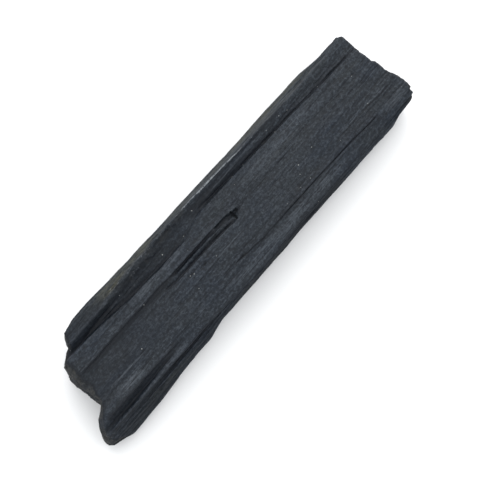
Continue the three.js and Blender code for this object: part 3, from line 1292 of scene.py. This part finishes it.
    def _shelf(self, relief: CrystalRelief) -> tuple[Array, Array, Array]:
        """Gives the broken band along the spurred end's upper edge.

        Args:
            relief: The relief of the skin.

        Returns:
            Its mask, its depth, and the mask of the line of painted shade along its inner edge.
        """
        edge = np.interp(relief.y, *np.array(self.shelf_edge).T)
        edge = edge + 0.35 * relief.grit.layers(relief.points + 5.0, (60.0, 0.8, 60.0), 3)
        inside = ease(0.1, -0.1, relief.x - edge) * relief.share[TOP]
        fall = self.shelf_drop + self.shelf_slope * np.clip(edge - relief.x, 0, 3)
        cut = np.exp(-(((relief.x - edge - 0.25) / self.shelf_line) ** 2)) * relief.share[TOP]
        cut = cut * ease(-6.5, -4.5, relief.y)
        return inside, fall * inside + 0.12 * cut, cut

    def _wear(self, relief: CrystalRelief) -> Array:
        """Rounds the arris between the long sides and both breaks.

        Args:
            relief: The relief of the skin.

        Returns:
            How much is worn off.
        """
        total = np.zeros_like(relief.x)
        for end, face in ((0, self.cap_start), (-1, self.cap_end)):
            distance = np.abs(relief.x - relief.x[:, [end]])
            total += 0.45 * face.lip * np.clip(1 - distance / face.lip, 0, 1) ** 2
        return total

    def _recess(self, points: Array, normal: Array) -> Array:
        """Measures how far each place lies below its neighbours across the grain.

        Args:
            points: The points of every grain line.
            normal: Their outward normals.

        Returns:
            The depth, which is negative on a crest.
        """
        weights = bell(self.recess_spread, 2.5)
        steps = range(-(len(weights) // 2), len(weights) // 2 + 1)
        level = sum(weight * np.roll(points, step, axis=0) for weight, step in zip(weights, steps))
        return np.sum(normal * (level - points), axis=-1)

    def _cap(self, skin: GrainSkin, tube: Array, end: int) -> Array:
        """Makes one broken end, inside the ring where the long sides end.

        Args:
            skin: The measured skin.
            tube: The points of every grain line.
            end: 0 for the spurred end and 1 for the plain end.

        Returns:
            Points for every place across and up.
        """
        n, m = self.lattice.across, self.lattice.up
        ring = tube[:, 0 if end == 0 else -1, 1:]
        across, up = np.arange(n + 1), np.arange(m + 1)
        top = ring[self.lattice.ring_index(across, np.full(n + 1, m))]
        bottom = ring[self.lattice.ring_index(across, np.zeros(n + 1, int))]
        right = ring[self.lattice.ring_index(np.zeros(m + 1, int), up)]
        left = ring[self.lattice.ring_index(np.full(m + 1, n), up)]
        a, u = (across / n)[:, None, None], (up / m)[None, :, None]
        sides = right[None] * (1 - a) + left[None] * a
        levels = bottom[:, None] * (1 - u) + top[:, None] * u
        corners = (1 - a) * (1 - u) * right[0] + (1 - a) * u * right[-1]
        corners = corners + a * (1 - u) * left[0] + a * u * left[-1]
        section = sides + levels - corners
        y, z = section[..., 0], section[..., 1]
        face = self.cap_start if end == 0 else self.cap_end
        from_side = np.minimum(across, n - across)[:, None] * self.cap_cell[0]
        edge = np.minimum(from_side, np.minimum(up, m - up)[None, :] * self.cap_cell[1])
        worn = face.lip * 0.5 * np.clip(1 - edge / face.lip, 0, 1) ** 2
        sign = -1 if end == 0 else 1
        x = skin.breaks[end].at(y, z) + sign * (face.relief(y, z, edge) - worn)
        return np.stack([x, y, z], axis=-1)

    def _write(self, mesh: bpy.types.Mesh, tube: Array, masks: dict[str, Array], caps: list[Array]) -> None:
        """Moves the lattice's vertices into place and stores the masks.

        Args:
            mesh: The lattice's mesh.
            tube: The points of every grain line.
            masks: The masks of the long sides.
            caps: The points of both ends.
        """
        counts = np.array([self.lattice.along, self.lattice.across, self.lattice.up])
        flat = np.empty(len(mesh.vertices) * 3, np.float32)
        mesh.vertices.foreach_get("co", flat)
        cells = np.rint((flat.reshape(-1, 3) + 1) / 2 * counts).astype(int)
        along, across, up = cells.T
        outer = (across == 0) | (across == counts[1]) | (up == 0) | (up == counts[2])
        line = self.lattice.ring_index(across, up)
        points = np.where(
            outer[:, None],
            tube[line, along],
            np.where((along == 0)[:, None], caps[0][across, up], caps[1][across, up]),
        )
        mesh.vertices.foreach_set("co", (points * MM).astype(np.float32).ravel())
        ends = (along == 0) | (along == counts[0])
        for name, values in masks.items():
            # Both ends are broken all over, rims and all, and carry no other mask.
            fracture = name == "fracture"
            found = np.where(ends if fracture else ~outer, float(fracture), values[line, along])
            layer = mesh.attributes.new(name, "FLOAT", "POINT")
            layer.data.foreach_set("value", found.astype(np.float32))
        mesh.polygons.foreach_set("use_smooth", np.ones(len(mesh.polygons), bool))
        mesh.update()


def add_node(
    tree: bpy.types.NodeTree,
    kind: str,
    settings: dict[str, object] | None = None,
    inputs: dict[str | int, object] | None = None,
) -> bpy.types.Node:
    """Adds a node with its settings, values and links.

    Args:
        tree: The node tree.
        kind: The node's type name.
        settings: Properties of the node.
        inputs: A value, or an output socket to link, for each input.

    Returns:
        The new node.
    """
    made = tree.nodes.new(kind)
    for name, value in (settings or {}).items():
        setattr(made, name, value)
    for name, value in (inputs or {}).items():
        if isinstance(value, bpy.types.NodeSocket):
            tree.links.new(value, made.inputs[name])
        else:
            made.inputs[name].default_value = value
    return made


def map_range(tree: bpy.types.NodeTree, value: Socket, source: Place, target: Place) -> Socket:
    """Carries a value from one range to another, and holds it there.

    Args:
        tree: The node tree.
        value: The value.
        source: The range that it comes from.
        target: The range that it is carried to.

    Returns:
        The carried value.
    """
    names = ("From Min", "From Max", "To Min", "To Max")
    inputs = dict(zip(names, source + target)) | {"Value": value}
    return add_node(tree, "ShaderNodeMapRange", inputs=inputs).outputs["Result"]


@dataclass(frozen=True)
class Streaks:
    """Noise drawn out along the rod.

    Attributes:
        width: The width of a feature.
        stretch: How many times longer it is than wide.
        detail: How many finer layers it has.
        contrast: How much of each layer the next one keeps.
        curl: How much it curls.
    """

    width: float
    stretch: float
    detail: float = 3.0
    contrast: float = 0.55
    curl: float = 0.0


@dataclass(frozen=True)
class Tone:
    """A colour laid over the rod's body where a noise runs from one value to another.

    Attributes:
        noise: The noise's name.
        between: The values at which it starts and at which it is whole.
        most: Its share where it is whole.
        colour: The name of the colour.
    """

    noise: str
    between: Place
    most: float
    colour: str


class NodeBench:
    """A node tree with short ways to add the sums that a finish needs."""

    def __init__(self, tree: bpy.types.NodeTree) -> None:
        """Empties the tree and adds the object's coordinates.

        Args:
            tree: The node tree.
        """
        tree.nodes.clear()
        self.tree = tree
        self.place: Socket = add_node(tree, "ShaderNodeTexCoord").outputs["Object"]

    def mask(self, name: str) -> Socket:
        """Reads a mask that is stored on the mesh."""
        return add_node(self.tree, "ShaderNodeAttribute", {"attribute_name": name}).outputs["Fac"]

    def noise(self, streaks: Streaks) -> Socket:
        """Adds noise that is drawn out along the rod.

        Args:
            streaks: The size and stretch of its features.

        Returns:
            The noise's value.
        """
        scale = (1 / streaks.stretch, 1.0, 1.0)
        turned = add_node(self.tree, "ShaderNodeMapping", inputs={"Vector": self.place, "Scale": scale})
        made = add_node(
            self.tree,
            "ShaderNodeTexNoise",
            {"noise_dimensions": "3D"},
            {
                "Vector": turned.outputs["Vector"],
                "Scale": 1 / (streaks.width * MM),
                "Detail": streaks.detail,
                "Roughness": streaks.contrast,
                "Distortion": streaks.curl,
            },
        )
        return made.outputs["Fac"]

    def mix(self, share: Socket | float, first: Socket | str, second: Socket | str) -> Socket:
        """Mixes two colours.

        Args:
            share: How much of the second colour shows.
            first: A socket or a hex colour.
            second: A socket or a hex colour.

        Returns:
            The mixed colour.
        """
        parts = [linear(part) if isinstance(part, str) else part for part in (first, second)]
        inputs = {0: share, 6: parts[0], 7: parts[1]}
        return add_node(self.tree, "ShaderNodeMix", {"data_type": "RGBA"}, inputs).outputs[2]

    def carry(self, value: Socket, source: Place, target: Place) -> Socket:
        """Carries a value from one range to another, and holds it there."""
        return map_range(self.tree, value, source, target)

    def math(self, operation: str, first: Socket, second: Socket | float) -> Socket:
        """Joins two values by a named operation."""
        made = add_node(self.tree, "ShaderNodeMath", {"operation": operation}, {0: first, 1: second})
        return made.outputs[0]

    def times(self, first: Socket, second: Socket | float) -> Socket:
        """Multiplies two values."""
        return self.math("MULTIPLY", first, second)

    def bump(self, height: Socket, strength: float, depth: float, under: Socket | None = None) -> Socket:
        """Adds fine relief.

        Args:
            height: The relief's value.
            strength: How strongly it shows.
            depth: Its depth in millimetres.
            under: The normal that it lies on.

        Returns:
            The new normal.
        """
        inputs = {"Height": height, "Strength": strength, "Distance": depth * MM}
        if under is not None:
            inputs["Normal"] = under
        return add_node(self.tree, "ShaderNodeBump", inputs=inputs).outputs["Normal"]


@dataclass(frozen=True)
class SchorlFinish:
    """Black tourmaline, as it grew and as it broke.

    Growth faces are ribbed along the rod and carry a dull, slightly blue sheen. Crests are rubbed
    paler, shade is painted darker into the valleys and recesses, and a painted highlight runs along
    the crest. Breaks across the grain are rougher, and browner with the dust of handling. Tiny flakes
    of mica are caught in the ribs.
    """

    name: str = "schorl_grown_striated"
    body: str = "0c1217"
    # A dark tone of the grain, and the colour of the painted shade in recesses.
    deep: str = "070b11"
    pale: str = "171c22"
    cast: str = "0c1622"
    fracture: str = "2f2f2e"
    stain: str = "3a3a32"
    bloom: str = "31363c"
    dust: str = "474c52"
    # The painted highlight's colour.
    glint: str = "65696c"
    mica: str = "7c7e7c"
    ior: float = 1.64
    specular: float = 0.12
    fibre: Streaks = Streaks(0.24, 16.0)
    streak: Streaks = Streaks(0.8, 8.0)
    grain: Streaks = Streaks(0.42, 1.3, 5.0, 0.75)
    patch: Streaks = Streaks(6.0, 2.2)
    facet: Streaks = Streaks(1.5, 1.0, 2.0, 0.6)
    curl: Streaks = Streaks(0.75, 1.6, 1.0, 0.5, 2.5)
    speck_cell: float = 1.9
    speck_radius: float = 0.08
    speck_share: float = 0.45
    speck_soft: float = 0.5
    face_height: float = 6.0
    tones: tuple[Tone, ...] = (
        Tone("streak", (0.38, 0.62), 1.0, "pale"),
        Tone("patch", (0.42, 0.62), 0.6, "cast"),
        Tone("fibre", (0.54, 0.7), 0.45, "bloom"),
        Tone("fibre", (0.46, 0.32), 0.5, "deep"),
        Tone("grain", (0.51, 0.37), 0.95, "deep"),
        Tone("grain", (0.51, 0.65), 0.7, "bloom"),
    )
    noise_names: tuple[str, ...] = ("fibre", "streak", "grain", "patch", "facet", "curl")
    mask_names: tuple[str, ...] = ("fracture", "stain", "bloom", "glint", "felt", "painted_shade", "worn", "flank")

    def material(self) -> bpy.types.Material:
        """Makes the material.

        Returns:
            The material, with all of its nodes.
        """
        made = bpy.data.materials.new(self.name)
        made.use_nodes = True
        bench = NodeBench(made.node_tree)
        noises = {name: bench.noise(getattr(self, name)) for name in self.noise_names}
        masks = {name: bench.mask(name) for name in self.mask_names}
        shader = add_node(
            bench.tree,
            "ShaderNodeBsdfPrincipled",
            inputs={
                "Base Color": self._colour(bench, noises, masks),
                "Roughness": self._roughness(bench, noises, masks),
                "Normal": self._relief(bench, noises, masks),
                "IOR": self.ior,
                "Specular IOR Level": self.specular,
            },
        )
        add_node(bench.tree, "ShaderNodeOutputMaterial", inputs={"Surface": shader.outputs["BSDF"]})
        return made

    def _colour(self, bench: NodeBench, noises: dict[str, Socket], masks: dict[str, Socket]) -> Socket:
        """Builds the colour: streaked, granular body, then wear, painted shade, breaks, painted highlights,
        mica.

        Args:
            bench: The node tree.
            noises: The finish's noises.
            masks: The mesh's masks.

        Returns:
            The colour.
        """
        colour = self.body
        for tone in self.tones:
            share = bench.carry(noises[tone.noise], tone.between, (0.0, tone.most))
            colour = bench.mix(share, colour, getattr(self, tone.colour))
        streak, grain = noises["streak"], noises["grain"]
        middle = bench.math("ABSOLUTE", bench.math("SUBTRACT", noises["curl"], 0.5), 0.0)
        thread = bench.carry(middle, (0.03, 0.005), (0.0, 0.6))
        rubbed = bench.carry(grain, (0.4, 0.6), (0.1, 0.5))
        dirt = bench.carry(noises["facet"], (0.42, 0.58), (0.35, 1.0))
        dirt = bench.times(bench.carry(grain, (0.4, 0.55), (0.3, 1.0)), dirt)
        powder = bench.math("ADD", bench.times(noises["fibre"], 0.6), bench.times(grain, 0.4))
        film = bench.carry(powder, (0.42, 0.55), (0.2, 1.0))
        film = bench.times(bench.carry(streak, (0.38, 0.6), (0.2, 1.0)), film)
        rime = bench.carry(powder, (0.42, 0.58), (0.1, 1.0))
        # Painted highlight: a pale colour along the crest and in flecks.
        glint_share = bench.carry(bench.math("ADD", masks["glint"], grain), (1.0, 1.12), (0.0, 1.0))
        laid = (
            (bench.times(masks["felt"], thread), self.bloom),
            (bench.times(masks["worn"], rubbed), self.bloom),
            # Painted shade: the deep colour laid in the recesses and shaded areas.
            (bench.times(masks["painted_shade"], 0.8), self.deep),
            (bench.times(masks["fracture"], dirt), self.fracture),
            (bench.times(masks["stain"], film), self.stain),
            (bench.times(masks["bloom"], rime), self.dust),
            (glint_share, self.glint),
            (self._mica(bench, masks["flank"]), self.mica),
        )
        for share, tint in laid:
            colour = bench.mix(share, colour, tint)
        return colour

    def _mica(self, bench: NodeBench, flank: Socket) -> Socket:
        """Builds the mask of mica flakes: the named ones on the broad face, and strays all round.

        Args:
            bench: The node tree.
            flank: The mask of the flanks, which carry no named flake.

        Returns:
            The mask.
        """
        x, y, z = add_node(bench.tree, "ShaderNodeSeparateXYZ", inputs={0: bench.place}).outputs
        flat = add_node(bench.tree, "ShaderNodeCombineXYZ", inputs={0: x, 1: y}).outputs[0]
        face = (self.face_height * MM, (self.face_height + self.speck_soft) * MM)
        upper = bench.times(bench.carry(z, face, (0.0, 1.0)), bench.carry(flank, (0.05, 0.25), (1.0, 0.0)))
        named = None
        for along, across, radius in SPECKS:
            ends = {0: flat, 1: (along * MM, across * MM, 0.0)}
            away = add_node(bench.tree, "ShaderNodeVectorMath", {"operation": "DISTANCE"}, ends)
            flake = bench.carry(away.outputs["Value"], (radius * MM, radius * 0.5 * MM), (0.0, 1.0))
            named = flake if named is None else bench.math("MAXIMUM", named, flake)
        cells = add_node(
            bench.tree,
            "ShaderNodeTexVoronoi",
            inputs={"Vector": bench.place, "Scale": 1 / (self.speck_cell * MM)},
        )
        near = self.speck_radius / self.speck_cell
        chosen = bench.carry(cells.outputs["Color"], (self.speck_share, self.speck_share + 0.1), (0.7, 0.0))
        stray = bench.times(bench.carry(cells.outputs["Distance"], (near, near * 0.5), (0.0, 1.0)), chosen)
        return bench.math("MAXIMUM", bench.times(named, upper), stray)

    def _roughness(self, bench: NodeBench, noises: dict[str, Socket], masks: dict[str, Socket]) -> Socket:
        """Builds the roughness: satin along the grain, dull in the breaks.

        Args:
            bench: The node tree.
            noises: The finish's noises.
            masks: The mesh's masks.

        Returns:
            The roughness.
        """
        grown = bench.carry(noises["streak"], (0.3, 0.7), (0.45, 0.62))
        grown = bench.math("ADD", grown, bench.times(masks["flank"], 0.4))
        broken = bench.carry(noises["grain"], (0.3, 0.7), (0.7, 0.85))
        made = add_node(
            bench.tree, "ShaderNodeMix", {"data_type": "FLOAT"}, {0: masks["fracture"], 2: grown, 3: broken}
        )
        return made.outputs[0]

    def _relief(self, bench: NodeBench, noises: dict[str, Socket], masks: dict[str, Socket]) -> Socket:
        """Builds the finest relief: hair-thin ribs, and grit that is coarser in the breaks.

        Args:
            bench: The node tree.
            noises: The finish's noises.
            masks: The mesh's masks.

        Returns:
            The normal.
        """
        ribs = bench.bump(noises["fibre"], 0.7, 0.07)
        grit = bench.times(noises["grain"], bench.carry(masks["fracture"], (0.0, 1.0), (0.6, 1.0)))
        return bench.bump(grit, 0.8, 0.22, ribs)


@dataclass(frozen=True)
class Studio:
    """A plain pale floor, soft light from above and beyond the rod, and the camera.

    Attributes:
        azimuth: The camera's turn about the rod, in degrees. 0 looks along +Y.
        elevation: The camera's height above the horizon, in degrees.
        distance: From the camera to the point that it looks at.
        lens: The focal length.
        aim: Where the rod's middle lies from the picture's centre: right and up.
        look_height: The height of the point that the camera looks at.
        floor_size: The floor's side.
        floor_colour: The floor's colour.
        floor_roughness: The floor's roughness.
        floor_specular: The strength of the floor's gloss.
        key_towards: The direction of the key light, seen from the rod.
        key_energy: The key light's strength.
        key_angle: The key light's spread, in degrees.
        wall_strength: The surrounding light's strength on the near side and beyond the rod.
        wall_colour: The surrounding light's colour.
        ceiling_share: How strong it is overhead, as a share.
        ceiling_start: How far up the walls it starts to fall to that share.
    """

    azimuth: float = -49.68
    elevation: float = 80.0
    distance: float = 239.3
    lens: float = 100.0
    aim: Place = (2.54, -0.905)
    look_height: float = 5.0
    floor_size: float = 8000.0
    floor_colour: str = "dadada"
    floor_roughness: float = 0.9
    floor_specular: float = 0.1
    key_towards: Triple = (0.85, 0.6, 1.0)
    key_energy: float = 2.1
    key_angle: float = 64.0
    wall_strength: Place = (1.75, 2.15)
    wall_colour: Triple = (0.97, 0.985, 1.0)
    ceiling_share: float = 0.6
    ceiling_start: float = 0.6

    def build(self) -> None:
        """Makes the floor, the light and the camera."""
        self._floor()
        self._light()
        self._camera()

    def _axes(self) -> tuple[Vector, Vector, Vector]:
        """Finds how the camera is turned.

        Returns:
            Its right, up and back directions.
        """
        turn, rise = math.radians(self.azimuth), math.radians(self.elevation)
        back = Vector((math.sin(turn) * math.cos(rise), -math.cos(turn) * math.cos(rise), math.sin(rise)))
        right = Vector((math.cos(turn), math.sin(turn), 0.0))
        return right, back.cross(right), back

    def _camera(self) -> None:
        """Makes the camera and gives it to the scene."""
        right, up, back = self._axes()
        data = bpy.data.cameras.new("studio_camera")
        data.lens = self.lens
        data.clip_start, data.clip_end = 0.01, 100.0
        camera = bpy.data.objects.new("studio_camera", data)
        target = Vector((0, 0, self.look_height)) + right * self.aim[0] + up * self.aim[1]
        camera.location = (target + back * self.distance) * MM
        camera.rotation_mode = "QUATERNION"
        camera.rotation_quaternion = (-back).to_track_quat("-Z", "Y")
        bpy.context.scene.collection.objects.link(camera)
        bpy.context.scene.camera = camera

    def _floor(self) -> None:
        """Makes the pale floor just under the rod."""
        bm = bmesh.new()
        bmesh.ops.create_grid(bm, x_segments=1, y_segments=1, size=self.floor_size * MM / 2)
        mesh = bpy.data.meshes.new("studio_floor")
        bm.to_mesh(mesh)
        bm.free()
        floor = bpy.data.objects.new("studio_floor", mesh)
        bpy.context.scene.collection.objects.link(floor)
        # Matt white paper: it scatters nearly all the light.
        paper = bpy.data.materials.new("paper_white_matt")
        paper.use_nodes = True
        shader = paper.node_tree.nodes["Principled BSDF"]
        shader.inputs["Base Color"].default_value = linear(self.floor_colour)
        shader.inputs["Roughness"].default_value = self.floor_roughness
        shader.inputs["Specular IOR Level"].default_value = self.floor_specular
        mesh.materials.append(paper)

    def _light(self) -> None:
        """Makes the soft key light and the light all round, which is stronger beyond the rod."""
        scene = bpy.context.scene
        scene.view_settings.view_transform = "Standard"
        scene.view_settings.look = "None"
        scene.world = self._surround()
        data = bpy.data.lights.new("key_soft", "SUN")
        data.energy = self.key_energy
        data.angle = math.radians(self.key_angle)
        key = bpy.data.objects.new("key_soft", data)
        key.rotation_mode = "QUATERNION"
        key.rotation_quaternion = Vector(self.key_towards).to_track_quat("Z", "Y")
        scene.collection.objects.link(key)

    def _surround(self) -> bpy.types.World:
        """Makes the world: pale walls, dimmer overhead and on the near side.

        Returns:
            The world.
        """
        world = bpy.data.worlds.new("studio_surround")
        world.use_nodes = True
        tree = world.node_tree
        towards = Vector((self.key_towards[0], self.key_towards[1], 0.0)).normalized()
        direction = add_node(tree, "ShaderNodeTexCoord").outputs["Generated"]
        dot = {"operation": "DOT_PRODUCT"}
        facing = add_node(tree, "ShaderNodeVectorMath", dot, {0: direction, 1: towards})
        height = add_node(tree, "ShaderNodeSeparateXYZ", inputs={0: direction}).outputs[2]
        side = map_range(tree, facing.outputs["Value"], (-1.0, 1.0), self.wall_strength)
        top = map_range(tree, height, (self.ceiling_start, 1.0), (1.0, self.ceiling_share))
        strength = add_node(tree, "ShaderNodeMath", {"operation": "MULTIPLY"}, {0: side, 1: top})
        surround = tree.nodes["Background"]
        surround.inputs["Color"].default_value = (*self.wall_colour, 1.0)
        tree.links.new(strength.outputs[0], surround.inputs["Strength"])
        return world


def main() -> None:
    """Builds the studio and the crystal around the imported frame."""
    logging.basicConfig(level=logging.INFO, format="%(name)s: %(message)s")
    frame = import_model()
    Studio().build()
    log.info("studio made")
    rod = TourmalineCrystal().build(frame["nodes"][NODE])
    rod.data.materials.append(SchorlFinish().material())
    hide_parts(NODE)
    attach(rod, BODY)
    log.info("%s made, %d faces", rod.name, len(rod.data.polygons))


if __name__ == "__main__":
    main()
